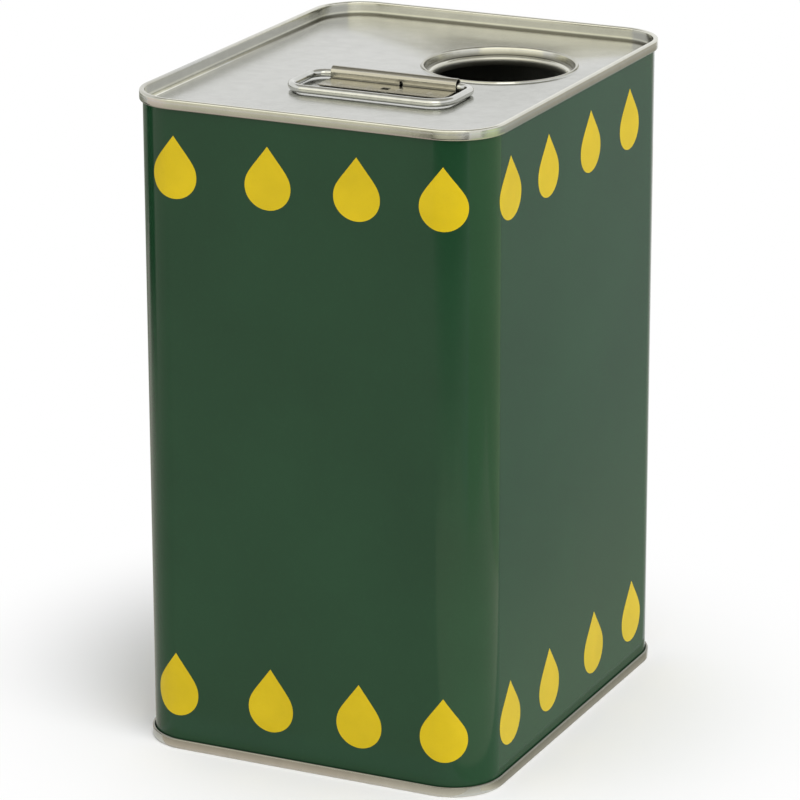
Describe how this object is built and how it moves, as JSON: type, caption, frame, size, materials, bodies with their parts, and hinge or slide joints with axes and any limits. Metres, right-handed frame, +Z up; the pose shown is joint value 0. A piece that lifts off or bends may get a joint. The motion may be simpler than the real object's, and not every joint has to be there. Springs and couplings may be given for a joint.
{
  "type": "square tin can",
  "caption": "Rectangular double-seamed tin can with rounded corners, an open round pressed mouth and a folding wire handle held in a folded bracket on the top.",
  "frame": {"origin": "centre of the can's footprint, on the plane that it stands on", "axes": "+Z up along the can's height, +Y towards the back wall with the weld lap along the long side of the footprint, +X along the short side of the footprint and along the handle's axis"},
  "size_m": [0.1384, 0.1704, 0.242],
  "materials": {
    "green_litho": "gloss varnish over green ink on tinplate, with yellow drops printed in two rows",
    "tinplate_top": "bright tinplate",
    "tinplate_bottom": "bright tinplate",
    "seam_compound": "matte",
    "bracket_plate": "bright tinplate",
    "bright_wire": "bright zinc-coated wire"
  },
  "bodies": {
    "can": {"body_shell": "green_litho", "top_end": "tinplate_top", "bottom_end": "tinplate_bottom", "top_seam_compound": "seam_compound", "bottom_seam_compound": "seam_compound", "handle_bracket": "bracket_plate"},
    "handle": {"handle_bail": "bright_wire"}
  },
  "joints": [
    {"name": "handle_swing", "type": "hinge", "parent": "can", "child": "handle", "pos_m": [0.0034, -0.015, 0.2389], "axis": [-1, 0, 0], "range_deg": [0, 176]}
  ]
}
